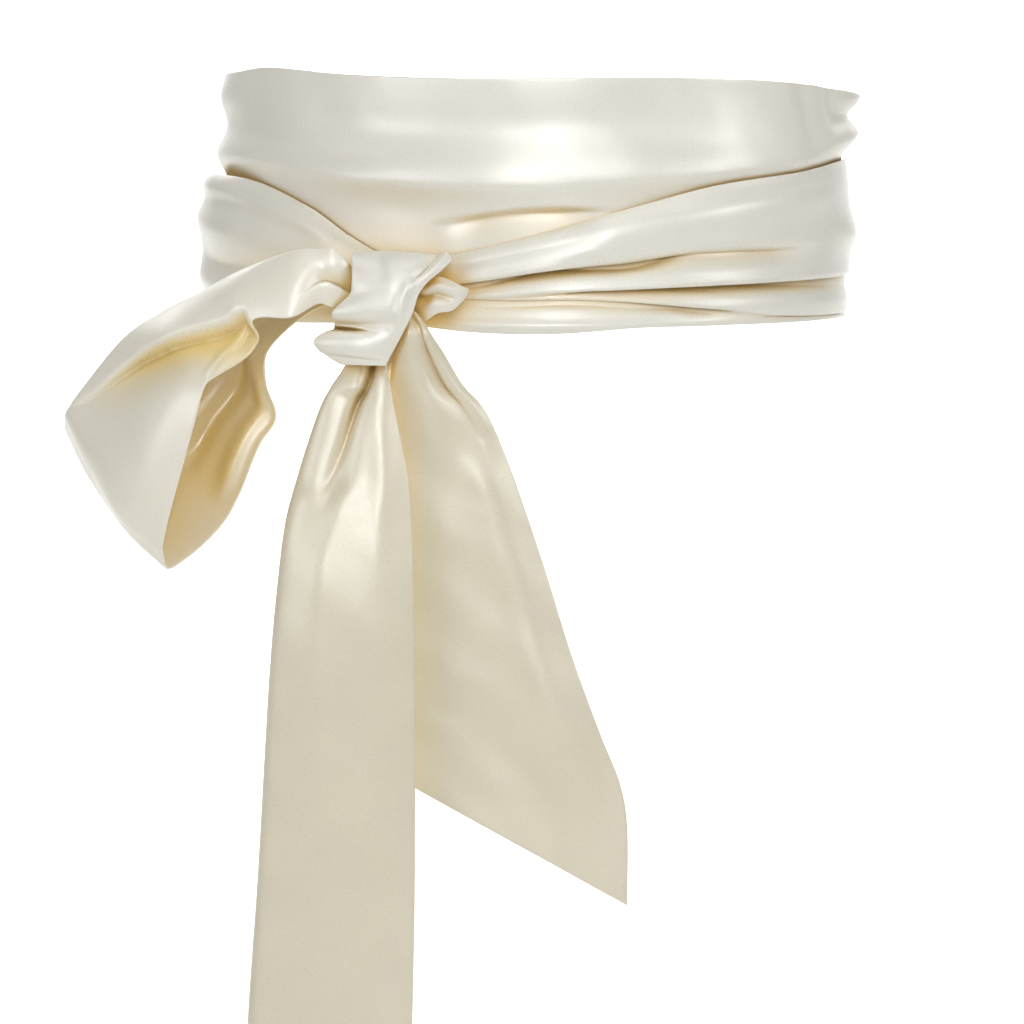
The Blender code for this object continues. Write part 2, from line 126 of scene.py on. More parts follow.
def placesAlong(length, zones):
    sample = np.linspace(0, length, lengthSamples)
    step = np.interp(sample / length, [zone[0] for zone in zones], [zone[1] for zone in zones])
    count = np.concatenate(([0], np.cumsum(np.diff(sample) / step[1:])))
    inner = np.interp(np.linspace(0, count[-1], max(fewestSteps, int(count[-1]))), count, sample)
    inner = inner[(inner > rimSteps[-1] + rimGap) & (inner < length - rimSteps[-1] - rimGap)]
    return np.concatenate((rimSteps, inner, length - rimSteps[::-1]))


# Shell of cloth over a surface, with rounded edges, seam ridges and UVs in decimetres.
# surface(run, across) gives places in mm, and how deep in a fold's valley each lies. runs are the
# values along it, and across goes 0 to 1
def clothShell(name, surface, runs, rowZones, columnZones, seed):
    probe = surface(runs[:, None], np.linspace(0, 1, widthSamples)[None, :])[0]
    lengths = np.linalg.norm(np.diff(probe, axis=0), axis=2).max(axis=1)
    travelled = np.concatenate(([0], np.cumsum(lengths)))
    wide = np.linalg.norm(np.diff(probe, axis=1), axis=2).sum(axis=1)
    alongMm = placesAlong(travelled[-1], rowZones)
    run = np.interp(alongMm, travelled, runs)
    widthHere = np.interp(alongMm, travelled, wide)[:, None]
    share = placesAlong(wide.max(), columnZones) / wide.max()
    acrossMm = share[None, :] * widthHere
    places, hollow = surface(run[:, None], share[None, :])
    alongDir = np.gradient(places, axis=0)
    acrossDir = np.gradient(places, axis=1)
    normals = np.cross(alongDir, acrossDir)
    normals /= np.maximum(np.linalg.norm(normals, axis=2), 1e-9)[:, :, None]
    fromEdge = np.minimum(acrossMm, widthHere - acrossMm)
    fromEnd = np.minimum(alongMm, alongMm[-1] - alongMm)[:, None] + 0 * acrossMm
    nearest = np.minimum(fromEdge, fromEnd)
    half = 0.5 * strip["thickness"]
    seamHalf = 0.5 * strip["seamThickness"] - half
    seam = seamHalf * np.exp(-(fromEdge / strip["seamWidth"]) ** 4)
    wave = np.sin(alongMm[:, None] / strip["puckerPitch"] + seed)
    pucker = strip["pucker"] * wave * np.exp(-(fromEdge / strip["puckerReach"]) ** 2)
    rounded = np.sqrt(np.clip(1 - (1 - np.clip(nearest / strip["rimRadius"], 0, 1)) ** 2, 0, 1))
    lift = (half + seam) * rounded
    middle = places + normals * (pucker * smoothStep(nearest / strip["puckerFade"]))[:, :, None]
    outer = middle + normals * lift[:, :, None]
    inner = middle - normals * lift[:, :, None]
    rows, columns = run.size, share.size
    number = np.arange(rows * columns).reshape(rows, columns)
    inside = number + rows * columns
    for edge in ((0, slice(None)), (-1, slice(None)), (slice(None), 0), (slice(None), -1)):
        inside[edge] = number[edge]
    a, b = number[:-1, :-1].ravel(), number[:-1, 1:].ravel()
    c, d = number[1:, 1:].ravel(), number[1:, :-1].ravel()
    e, f = inside[:-1, :-1].ravel(), inside[:-1, 1:].ravel()
    g, h = inside[1:, 1:].ravel(), inside[1:, :-1].ravel()
    faces = np.concatenate((np.stack((a, d, c, b), 1), np.stack((e, f, g, h), 1)))
    points = np.concatenate((outer.reshape(-1, 3), inner.reshape(-1, 3))) * mm
    uv = np.stack((alongMm[:, None] + 0 * acrossMm, acrossMm), axis=2).reshape(-1, 2) / 100.0
    uv = np.concatenate((uv, uv))
    used = np.unique(faces)
    renumber = np.full(points.shape[0], -1)
    renumber[used] = np.arange(used.size)
    faces, points, uv = renumber[faces], points[used], uv[used]
    mesh = bpy.data.meshes.new(name)
    mesh.from_pydata(points.tolist(), [], faces.tolist())
    layer = mesh.uv_layers.new(name="ClothUV")
    corners = np.empty(len(mesh.loops), dtype=int)
    mesh.loops.foreach_get("vertex_index", corners)
    layer.data.foreach_set("uv", uv[corners].ravel())
    # the depth of each point in a fold's valley, which the materials paint as shade
    valley = mesh.attributes.new("valley", "FLOAT", "POINT")
    valley.data.foreach_set("value", np.tile(hollow.ravel(), 2)[used])
    mesh.shade_smooth()
    piece = bpy.data.objects.new(name, mesh)
    bpy.context.scene.collection.objects.link(piece)
    print(f"{name}: {rows} x {columns} places, {2 * len(faces)} triangles, {travelled[-1]:.0f} mm long")
    return piece, travelled[-1]


# Materials. The first helper turns a hex colour into linear light
def linear(hexColour):
    values = [int(hexColour[k:k + 2], 16) / 255 for k in (0, 2, 4)]
    return [v / 12.92 if v <= 0.04045 else ((v + 0.055) / 1.055) ** 2.4 for v in values] + [1.0]


def addNode(tree, kind, settings=None, **inputs):
    node = tree.nodes.new(kind)
    for key, value in (settings or {}).items():
        setattr(node, key, value)
    for key, value in inputs.items():
        numbered = key[0] == "i" and key[1:].isdigit()
        socket = node.inputs[int(key[1:]) if numbered else key.replace("_", " ")]
        if isinstance(value, bpy.types.NodeSocket):
            tree.links.new(value, socket)
        else:
            socket.default_value = value
    return node


# The darker clouds' share of the face's tone, and the painted shadow close to where two layers touch
cloudTone = 0.965
touchReach = 0.006
touchShadowColour = "86683c"
opennessSamples = 10


# Duchess satin, a close weave of long floats that gives soft, wide highlights. Face is its lit colour,
# depth the gold painted into the colour as shade between layers and in folds, then how near other
# cloth must be for that painted shade, in metres, and the share of the painted gold in a fold 9 mm deep
def satinMaterial(name, face, depth, shadeReach, valleyShadeGold):
    material = bpy.data.materials.new(name)
    material.use_nodes = True
    tree = material.node_tree
    shader = tree.nodes["Principled BSDF"]
    cloth = addNode(tree, "ShaderNodeUVMap", {"uv_map": "ClothUV"}).outputs["UV"]
    # slubs about 1 mm long and 0.4 mm wide, along the strip. The UV counts decimetres
    stretched = addNode(tree, "ShaderNodeMapping", Vector=cloth, Scale=(90.0, 230.0, 1.0))
    slubs = addNode(tree, "ShaderNodeTexNoise", {"noise_dimensions": "2D"}, Vector=stretched.outputs[0],
                    Scale=1.0, Detail=3.0, Roughness=0.6)
    # floats of 0.4 by 0.16 mm, twice the size of real ones, which would not show at all
    fine = addNode(tree, "ShaderNodeMapping", Vector=cloth, Scale=(260.0, 620.0, 1.0))
    floats = addNode(tree, "ShaderNodeTexNoise", {"noise_dimensions": "2D"}, Vector=fine.outputs[0],
                     Scale=1.0, Detail=2.0, Roughness=0.5)
    # the cloth's slow change of tone, over about 4 cm
    cloud = addNode(tree, "ShaderNodeTexNoise", {"noise_dimensions": "2D"},
                    Vector=cloth, Scale=2.6, Detail=2.0)
    tone = addNode(tree, "ShaderNodeMapRange", Value=cloud.outputs[0], i1=0.3, i2=0.7, i3=0.0, i4=1.0)
    toneMix = addNode(tree, "ShaderNodeMix", {"data_type": "RGBA"}, i0=tone.outputs[0],
                      i6=linear(face), i7=[c * cloudTone for c in linear(face)[:3]] + [1.0])
    # painted shade: gold where other cloth is near, for the shade between layers and inside the loop
    enclosed = addNode(tree, "ShaderNodeAmbientOcclusion", {"samples": opennessSamples}, Distance=shadeReach)
    shade = addNode(tree, "ShaderNodeMapRange", Value=enclosed.outputs["AO"], i1=0.35, i2=0.9, i3=1.0, i4=0.0)
    enclosedShade = addNode(tree, "ShaderNodeMath", {"operation": "POWER"}, i0=shade.outputs[0], i1=1.5)
    # painted shade in fold valleys: more gold the deeper the fold
    valley = addNode(tree, "ShaderNodeAttribute", {"attribute_name": "valley"}).outputs["Fac"]
    valleyShade = addNode(tree, "ShaderNodeMapRange", Value=valley, i1=1.2, i2=9.0, i3=0.0, i4=valleyShadeGold)
    paintedShadeShare = addNode(tree, "ShaderNodeMath", {"operation": "ADD", "use_clamp": True},
                        i0=enclosedShade.outputs[0], i1=valleyShade.outputs[0])
    paintedGold = addNode(tree, "ShaderNodeMix", {"data_type": "RGBA"}, i0=paintedShadeShare.outputs[0],
                   i6=toneMix.outputs[2], i7=linear(depth))
    # painted shadow: a thin brown line where two layers touch
    touching = addNode(tree, "ShaderNodeAmbientOcclusion", {"samples": opennessSamples}, Distance=touchReach)
    contactShadow = addNode(tree, "ShaderNodeMapRange", Value=touching.outputs["AO"],
                        i1=0.25, i2=0.8, i3=0.85, i4=0.0)
    shaded = addNode(tree, "ShaderNodeMix", {"data_type": "RGBA"}, i0=contactShadow.outputs[0],
                     i6=paintedGold.outputs[2], i7=linear(touchShadowColour))
    tree.links.new(shaded.outputs[2], shader.inputs["Base Color"])
    gloss = addNode(tree, "ShaderNodeMapRange", Value=slubs.outputs[0], i1=0.3, i2=0.7, i3=0.26, i4=0.42)
    tree.links.new(gloss.outputs[0], shader.inputs["Roughness"])
    relief = addNode(tree, "ShaderNodeMath", {"operation": "MULTIPLY_ADD"},
                     i0=floats.outputs[0], i1=0.2, i2=slubs.outputs[0])
    bump = addNode(tree, "ShaderNodeBump", Strength=0.3, Distance=0.00010, Height=relief.outputs[0])
    tree.links.new(bump.outputs[0], shader.inputs["Normal"])
    # polyester is near 1.6, raised a little for the sheen of the floats
    shader.inputs["IOR"].default_value = 1.7
    shader.inputs["Specular IOR Level"].default_value = 1.0
    shader.inputs["Anisotropic"].default_value = 0.35
    shader.inputs["Sheen Weight"].default_value = 0.12
    shader.inputs["Sheen Roughness"].default_value = 0.4
    return material


ivory = satinMaterial("Ivory satin", face="e5e2d6", depth="eac978", shadeReach=0.05, valleyShadeGold=0.42)
# The loop's copy, with the painted gold shade reaching further and deeper, for the shade inside the loop
loopIvoryDeepShade = satinMaterial("Ivory satin, loop, deeper painted shade", face="eae5d5", depth="e3c87e", shadeReach=0.07, valleyShadeGold=0.95)
# The tails' copy: its face is painted darker and yellower than the band's, as shade for the dimmer light
# where they hang
tailIvoryShaded = satinMaterial("Ivory satin, tails, painted darker", face="d8d0b8", depth="e6c984", shadeReach=0.035, valleyShadeGold=0.42)


# The wound strip. One row for each place round it: run is degrees travelled from the knot and back
# to it, lift is 0 where the strip lies on the waist and 1 where it lies on its other turn
winding = {
    "columns": ("run", "bottom", "top", "puff", "lift"),
    "rows": (
        (28, -50.0, -24.0, 1.5, 1.0),
        (37, -51.0, -13.6, 3.5, 1.0),
        (45, -51.3, -3.6, 5.0, 1.0),
        (60, -51.3, 7.0, 7.0, 1.0),
        (75, -51.3, 10.6, 9.0, 1.0),
        (96, -51.0, 9.0, 9.5, 1.0),
        (112, -51.0, 6.0, 6.0, 1.0),
        (126, -50.5, 2.0, 2.0, 1.0),
        (140, -50.0, -1.2, 1.0, 1.0),
        (149, -49.0, -1.6, 0.5, 0.5),
        (158, -46.0, -1.8, 0.0, 0.0),
        (180, -32.0, 30.0, 0.0, 0.0),
        (208, -12.0, 46.0, 0.0, 0.0),
        (232, -28.0, 46.0, 0.0, 0.0),
        (264, -45.0, 44.0, 0.0, 0.0),
        (284, -45.0, 47.1, 0.0, 0.0),
        (310, -45.0, 50.0, 0.0, 0.0),
        (340, -45.0, 51.2, 0.0, 0.0),
        (372, -45.0, 50.7, 0.0, 0.0),
        (398, -45.0, 52.7, 0.0, 0.0),
        (419, -45.0, 56.0, 0.0, 0.0),
        (435, -45.0, 54.5, 0.0, 0.0),
        (456, -45.0, 53.5, 0.0, 0.0),
        (472, -38.0, 53.0, 0.0, 0.0),
        (486, -19.0, 52.0, 0.0, 0.0),
        (500, 1.2, 50.0, 0.0, 0.0),
        (509, 1.6, 49.0, 1.0, 0.5),
        (518, 1.8, 46.0, 1.5, 1.0),
        (540, -28.0, 34.0, 2.0, 1.0),
        (568, -49.0, 4.0, 2.0, 1.0),
        (592, -51.0, 8.0, 2.0, 1.0),
        (624, -50.0, 17.0, 1.5, 1.0),
        (644, -50.3, 16.5, 2.8, 1.0),
        (664, -51.4, 11.8, 4.6, 1.0),
        (685, -52.3, 6.4, 6.0, 1.0),
        (701, -52.9, -2.3, 6.0, 1.0),
        (716, -55.3, -11.8, 5.6, 1.0),
        (730, -54.9, -20.1, 4.0, 1.0),
        (743, -52.0, -26.5, 1.5, 1.0),
    ),
    "gathers": 5.5,          # across the strip, behind
    "gatherRise": 1.5,
    "gatherUneven": 0.28,    # share by which a gather is higher or lower than the others
    "gatherSway": 0.3,       # how far the gathers wander across the strip, and how often in a turn
    "swaysPerTurn": 2.7,
    "gatherDrift": 500.0,    # degrees in which they drift by one gather
    # radians across the strip, and degrees along it for one radian
    "unevenWaves": ((7.3, 19.0), (2.1, -31.0)),
    "sideTurn": 96.0,        # the gathers fade in from here to behind, in degrees
    "sideFade": 24.0,
    "ripple": 0.25,
    "rippleSize": 55.0,
    "rippleLost": 0.6,       # share of the ripple that the stretch on the other turn lacks
    "otherFrom": 430.0,      # runs past this lie over or under the first turn
    "leftUntil": 700.0,
}
fullTurn = 360.0
halfTurn = 180.0
mmPerDegree = 2.0   # round the waist

# Folds by place: turn in degrees from the front towards +X, height in mm. A rise below 0 is a valley.
# Above and below are the widths of the fold's two flanks, and lip is how far the cloth above slides
# down over the valley
foldColumns = (
    "fromTurn", "fromHeight", "midTurn", "midHeight", "toTurn", "toHeight", "rise", "above", "below", "lip")
frontFolds = (
    (-130, 18.0, -85, 20.0, -42, 17.5, 5.2, 8.0, 8.0, 0.0),
    (-66, 19.5, -25, 9.0, 14, 6.4, 4.6, 14.0, 7.0, 0.0),
    (-4, 7.4, 40, 13.0, 82, 24.0, 3.4, 12.0, 6.0, 0.0),
    (-60, 35.0, -15, 30.0, 40, 33.0, -1.2, 10.0, 10.0, 0.0),
    (-20, -11.5, -4, -5.5, 14, -4.5, -3.8, 1.5, 10.0, 0.0),
    (-74, 30.0, -50, 22.0, -22, 15.0, -1.4, 5.0, 7.0, 0.0),
    (60, 21.5, 88, 28.5, 130, 28.0, 7.6, 6.0, 6.0, 0.0),
    (-130, 44.0, -92, 44.0, -68, 46.0, 3.6, 9.0, 9.0, 0.0),
    (70, 42.0, 90, 44.0, 130, 43.0, 8.2, 6.0, 6.0, 0.0),
)
# Small upright dents in the front wrap: turn, height, depth, half widths in degrees and mm
frontDents = (
    (60.5, 38.0, -1.5, 3.0, 15.0),
    (73.0, 39.0, -1.5, 3.4, 13.0),
    (24.0, 38.0, -1.6, 9.0, 20.0),
    (-44.0, 40.0, -1.2, 8.0, 22.0),
)
dentLean = 0.12   # degrees for each mm of height
leftFolds = (
    (-130, 8.5, -90, 9.5, -58, 4.0, 6.0, 6.5, 6.5, 0.0),
    (-130, -6.5, -86, -7.0, -45, -22.0, 2.6, 6.0, 8.0, 0.0),
    (-86, -26.0, -62, -28.0, -38, -35.0, -3.0, 5.0, 7.0, 0.0),
    (-130, -31.0, -92, -32.0, -66, -34.0, 1.6, 6.0, 6.0, 0.0),
    (-78, 3.0, -58, -6.0, -38, -20.0, -1.4, 3.0, 5.0, 0.0),
)
rightFolds = (
    (-20, -29.0, 20, -8.0, 88, 11.0, 2.0, 4.0, 8.0, 0.0),
    (-24, -38.0, 4, -27.5, 30, -21.8, -5.5, 0.8, 6.0, 2.2),
    (0, -27.0, 32, -21.8, 64, -20.5, -4.2, 2.2, 6.5, 0.8),
    (60, -13.0, 92, -13.5, 130, -13.0, 3.0, 8.0, 8.0, 0.0),
    (-24, -41.0, 24, -34.9, 125, -27.5, -5.8, 0.8, 6.5, 2.4),
    (-24, -41.0, 12, -40.5, 50, -48.3, -5.0, 0.8, 5.0, 2.2),
    (34, -47.0, 60, -48.6, 110, -48.0, -3.0, 0.8, 2.5, 1.4),
    (-22, -46.0, 4, -47.5, 28, -46.0, -1.8, 4.0, 4.0, 0.0),
    (-22, -51.0, 6, -52.5, 40, -51.0, 1.5, 2.0, 2.0, 0.0),
    (-22, -30.5, -8, -24.5, 14, -14.0, -0.9, 2.0, 4.0, 0.3),
)
lipPlace = 1.6
lipWidth = 1.5


# How far the folds stand out at a place, how far they slide the cloth down there, and how deep
# in a valley it lies
def foldField(folds, turn, height):
    total, slide, hollow = (0 * turn + 0 * height for k in range(3))
    for row in folds:
        fold = dict(zip(foldColumns, row))
        t = (turn - fold["fromTurn"]) / (fold["toTurn"] - fold["fromTurn"])
        turns = [fold["fromTurn"], fold["midTurn"], fold["toTurn"]]
        middle = curveThrough(turns, [fold["fromHeight"], fold["midHeight"], fold["toHeight"]], turn)
        strength = fadeEnds(t)
        hill = fold["rise"] * strength * lopsidedBump(height - middle, fold["above"], fold["below"])
        total = total + hill
        hollow = hollow + np.maximum(-hill, 0)
        lip = np.exp(-((height - middle - lipPlace) / lipWidth) ** 2)
        slide = slide - fold["lip"] * strength * lip
    return total, slide, hollow


windingRows = np.array(winding["rows"])


def windingAt(run):
    columns = range(1, len(winding["columns"]))
    return [curveThrough(windingRows[:, 0], windingRows[:, k], run) for k in columns]


# How far the strip's front face is from the middle of its turn, in degrees towards +X
def turnAt(run):
    return -((run + halfTurn) % fullTurn - halfTurn)


# Gathers behind, each a wave across the strip that drifts along it
def windingGathers(run, across):
    behind = smoothStep((np.abs(turnAt(run)) - winding["sideTurn"]) / winding["sideFade"])
    sway = winding["gatherSway"] * np.sin(np.radians(winding["swaysPerTurn"] * run))
    drift = sway + run / winding["gatherDrift"]
    wave = 0.5 - 0.5 * np.cos(2 * np.pi * (winding["gathers"] * across + drift))
    patches = 1
    for radians, degrees in winding["unevenWaves"]:
        patches = patches * np.sin(radians * across + run / degrees)
    rise = winding["gatherRise"] * (1 - winding["gatherUneven"] + winding["gatherUneven"] * patches)
    return rise * behind * wave * insideEdges(across, 6, full=1.2)


def woundSurface(run, across):
    bottom, top, puff, lift = windingAt(run)
    turn = turnAt(run)
    height = bottom + (top - bottom) * across
    frontSide = foldField(frontFolds, turn, height)
    firstLayer = strip["firstLayer"] + frontSide[0]
    for atTurn, atHeight, depth, dentTurn, dentHeight in frontDents:
        above = height - atHeight
        dent = ((turn - atTurn + dentLean * above) / dentTurn) ** 2 + (above / dentHeight) ** 4
        firstLayer = firstLayer + depth * np.exp(-dent)
    ownGathers = windingGathers(run, across)
    otherRun = np.where(run > winding["otherFrom"], run - fullTurn, run + fullTurn)
    otherBottom, otherTop = windingAt(otherRun)[:2]
    otherAcross = np.clip((height - otherBottom) / (otherTop - otherBottom), 0, 1)
    below = firstLayer + windingGathers(otherRun, otherAcross)
    leftSide, rightSide = foldField(leftFolds, turn, height), foldField(rightFolds, turn, height)
    onLeft = (turn < 0) & (run < winding["leftUntil"])
    sideFolds = np.where(onLeft, leftSide[0], rightSide[0])
    slide = np.where(onLeft, leftSide[1], rightSide[1]) * lift * insideEdges(across, 6)
    extra = np.maximum(puff * insideEdges(across, 4) + sideFolds, 0)
    crossing = below + strip["layerPitch"] + extra + ownGathers
    lying = firstLayer + ownGathers
    offset = lying + (crossing - lying) * lift
    ripple = softRipple(run * mmPerDegree, height, winding["rippleSize"], 2.0)
    offset = offset + winding["ripple"] * (ripple * (1 - winding["rippleLost"] * lift))
    a = np.radians(turn)
    x, y = strip["waistHalfWidth"] * np.sin(a), -strip["waistHalfDepth"] * np.cos(a)
    nx, ny = strip["waistHalfDepth"] * np.sin(a), -strip["waistHalfWidth"] * np.cos(a)
    size = np.hypot(nx, ny)
    hollow = frontSide[2] + (np.where(onLeft, leftSide[2], rightSide[2]) - frontSide[2]) * lift
    return np.stack((x + nx / size * offset, y + ny / size * offset, height + slide), axis=2), hollow


# The strip is parted where its other turn covers it behind. The two shells share their last millimetre,
# so their rounded rims lie inside each other and no groove shows on the inner side
partRun = 186.0
sharedRun = 0.8
firstRun, lastRun = windingRows[0, 0], windingRows[-1, 0]
leftTurn, leftLength = clothShell(
    "left_turn", woundSurface, np.linspace(firstRun, partRun, 160),
    ((0, 1.6), (1, 2.6)), ((0, 1.3), (1, 1.3)), 1.0)
mainTurn, mainLength = clothShell(
    "main_turn", woundSurface, np.linspace(partRun - sharedRun, lastRun, 560),
    ((0, 3.4), (0.70, 3.2), (0.76, 1.7), (1, 1.4)), ((0, 0.8), (0.5, 0.95), (0.65, 1.4), (1, 1.5)), 2.0)
for piece, nodes in ((leftTurn, ["left_wrap", "back_cross_under"]),
                     (mainTurn, ["front_wrap", "back_cross_over", "right_wrap"])):
    piece.data.materials.append(ivory)
    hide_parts(*nodes)
    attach(piece, "root")
print("wound strip done")


# The bow. Each section of a ribbon has the strip's two edges and how far it bellies out
sectionColumns = ("xA", "yA", "zA", "xB", "yB", "zB", "belly")
# Folds along a ribbon, from one section to another by way of the middle between them. Across is 0 at
# edge a and 1 at edge b, and the flanks' widths are in mm
creaseColumns = (
    "fromSection", "fromAcross", "midAcross", "toSection", "toAcross", "rise", "towardsB", "towardsA")
# Folds that run across a ribbon, at a section that shifts by the slant. Before and after are in sections
tuckColumns = ("atSection", "slant", "fromAcross", "toAcross", "rise", "before", "after")
# Shares of a fold's length in which it rises and fades
creaseFade = (0.15, 0.45)
tuckFade = (0.1, 0.6)
rippleSize = 75.0
slopeStep = 0.1        # of a section, to either side, for the direction of the ribbon
runsPerSection = 30


def ribbonSurface(piece):
    sections = np.array(piece["sections"], float)
    numbers = np.arange(len(sections))
    roll = piece.get("roll")
    middles = (sections[:, :3] + sections[:, 3:6]) / 2
    travelled = np.concatenate(([0], np.cumsum(np.linalg.norm(np.diff(middles, axis=0), axis=1))))

    def surface(place, across):
        place, across = np.broadcast_arrays(place, across)
        columns = [curveThrough(numbers, sections[:, k], place) for k in range(len(sectionColumns))]
        a, b = np.stack(columns[:3], axis=2), np.stack(columns[3:6], axis=2)
        share, depth = across, 0 * across
        if roll is not None:
            rows = np.array(roll["rows"])
            share = curveThrough(rows[:, 0], rows[:, 1], across)
            depth = curveThrough(rows[:, 0], rows[:, 2], across)
            depth = depth * curveThrough(numbers, roll["depths"], place)
        chord = b - a
        width = np.linalg.norm(chord, axis=2)
        ahead, behind = [[curveThrough(numbers, sections[:, k], place + step) for k in range(6)]
                         for step in (slopeStep, -slopeStep)]
        runA, runB = [np.stack(ahead[k:k + 3], axis=2) - np.stack(behind[k:k + 3], axis=2)
                      for k in (0, 3)]
        out = np.cross(runA * (1 - share)[:, :, None] + runB * share[:, :, None], chord)
        out /= np.maximum(np.linalg.norm(out, axis=2), 1e-9)[:, :, None]
        face = (depth <= 0.5 * np.max(depth) + 1e-6)
        lift = columns[6] * (1 - (2 * share - 1) ** 2) - depth
        hollow = 0 * share
        for row in piece["creases"]:
            crease = dict(zip(creaseColumns, row))
            t = (place - crease["fromSection"]) / (crease["toSection"] - crease["fromSection"])
            acrossPlaces = [crease[k] for k in ("fromAcross", "midAcross", "toAcross")]
            middle = curveThrough([0, 0.5, 1], acrossPlaces, t)
            hill = lopsidedBump((share - middle) * width, crease["towardsB"], crease["towardsA"])
            hill = crease["rise"] * fadeEnds(t, *creaseFade) * hill * face
            lift, hollow = lift + hill, hollow + np.maximum(-hill, 0)
        for row in piece.get("tucks", ()):
            tuck = dict(zip(tuckColumns, row))
            t = (share - tuck["fromAcross"]) / (tuck["toAcross"] - tuck["fromAcross"])
            distance = place - tuck["atSection"] - tuck["slant"] * (share - tuck["fromAcross"])
            hill = lopsidedBump(distance, tuck["after"], tuck["before"])
            hill = tuck["rise"] * fadeEnds(t, *tuckFade) * hill
            lift, hollow = lift + hill, hollow + np.maximum(-hill, 0)
        along = curveThrough(numbers, travelled, place)
        lift = lift + piece["ripple"] * softRipple(along, share * width, rippleSize, piece["seed"])
        return a + chord * share[:, :, None] + out * lift[:, :, None], hollow

    return surface


def ribbonPiece(name, node, piece, material):
    count = len(piece["sections"])
    runs = np.linspace(0, count - 1, runsPerSection * count)
    zones = piece["rowZones"], piece["columnZones"]
    made, piece["length"] = clothShell(name, ribbonSurface(piece), runs, *zones, piece["seed"])
    made.data.materials.append(material)
    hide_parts(node)
    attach(made, "root")
    return made


knotWrap = {
    "sections": (
        (-72.5, -96.0, -23.0, -41.0, -103.0, -25.0, 0.0),
        (-74.0, -104.0, -21.5, -35.0, -108.0, -23.5, 1.0),
        (-76.0, -113.0, -23.0, -35.0, -113.0, -25.0, 1.5),
        (-76.0, -117.5, -28.0, -39.0, -117.5, -29.0, 3.0),
        (-76.0, -119.2, -33.5, -45.0, -120.5, -34.0, 3.5),
        (-77.0, -119.2, -39.0, -48.5, -121.5, -39.0, 4.0),
        (-84.0, -120.0, -46.0, -50.5, -122.5, -45.5, 3.0),
        (-83.5, -116.5, -51.5, -53.0, -122.0, -51.0, 2.0),
        (-91.5, -119.0, -57.5, -57.0, -121.0, -58.5, 4.5),
        (-88.5, -119.0, -62.5, -60.0, -121.0, -64.0, 4.0),
        (-80.5, -119.5, -67.5, -62.0, -121.0, -68.0, 1.5),
    ),
    "creases": (
        (0.5, 0.93, 0.93, 4.8, 0.93, 1.2, 1.4, 1.6),
        (0.8, 0.85, 0.83, 5.0, 0.82, -1.4, 0.8, 3.2),
        (3.6, 0.78, 0.84, 8.2, 0.88, 1.6, 2.0, 2.6),
        (1.5, 0.25, 0.35, 6.0, 0.55, -0.8, 3.0, 5.0),
    ),
    "tucks": (
        (7.0, 0.7, -0.1, 0.75, -2.8, 0.07, 0.26),
        (9.0, 0.5, -0.05, 1.1, -1.1, 0.10, 0.35),
    ),
    "ripple": 0.2,
    "seed": 3.0,
    "rowZones": ((0, 0.7), (1, 0.6)),
    "columnZones": ((0, 0.7), (0.7, 0.7), (0.8, 0.4), (1, 0.4)),
    "cut": 60.0,
    "held": "gathered",
    "restsOn": ["knot_layers"],
}
knotNeck = {
    "sections": (
        (-51.8, -107.5, -46.0, -51.8, -107.5, -36.0, 0.5),
        (-46.0, -110.0, -49.5, -46.0, -111.0, -34.5, 1.5),
        (-41.0, -111.0, -46.5, -41.0, -112.0, -31.5, 2.0),
        (-35.0, -109.5, -45.5, -35.5, -110.5, -33.0, 2.0),
        (-31.5, -107.5, -42.5, -30.5, -108.0, -35.5, 1.0),
        (-29.0, -105.5, -39.5, -28.0, -105.5, -36.5, 0.3),
    ),
    "creases": (
        (0.0, 0.80, 0.52, 4.0, 0.36, -2.6, 1.2, 2.6),
        (0.3, 0.92, 0.72, 5.2, 0.60, 1.5, 1.6, 1.6),
    ),
    "ripple": 0.1,
    "seed": 4.0,
    "rowZones": ((0, 0.5), (1, 0.5)),
    "columnZones": ((0, 0.5), (1, 0.5)),
    "cut": 20.0,
    "held": "gathered",
    "restsOn": ["main_turn"],
}
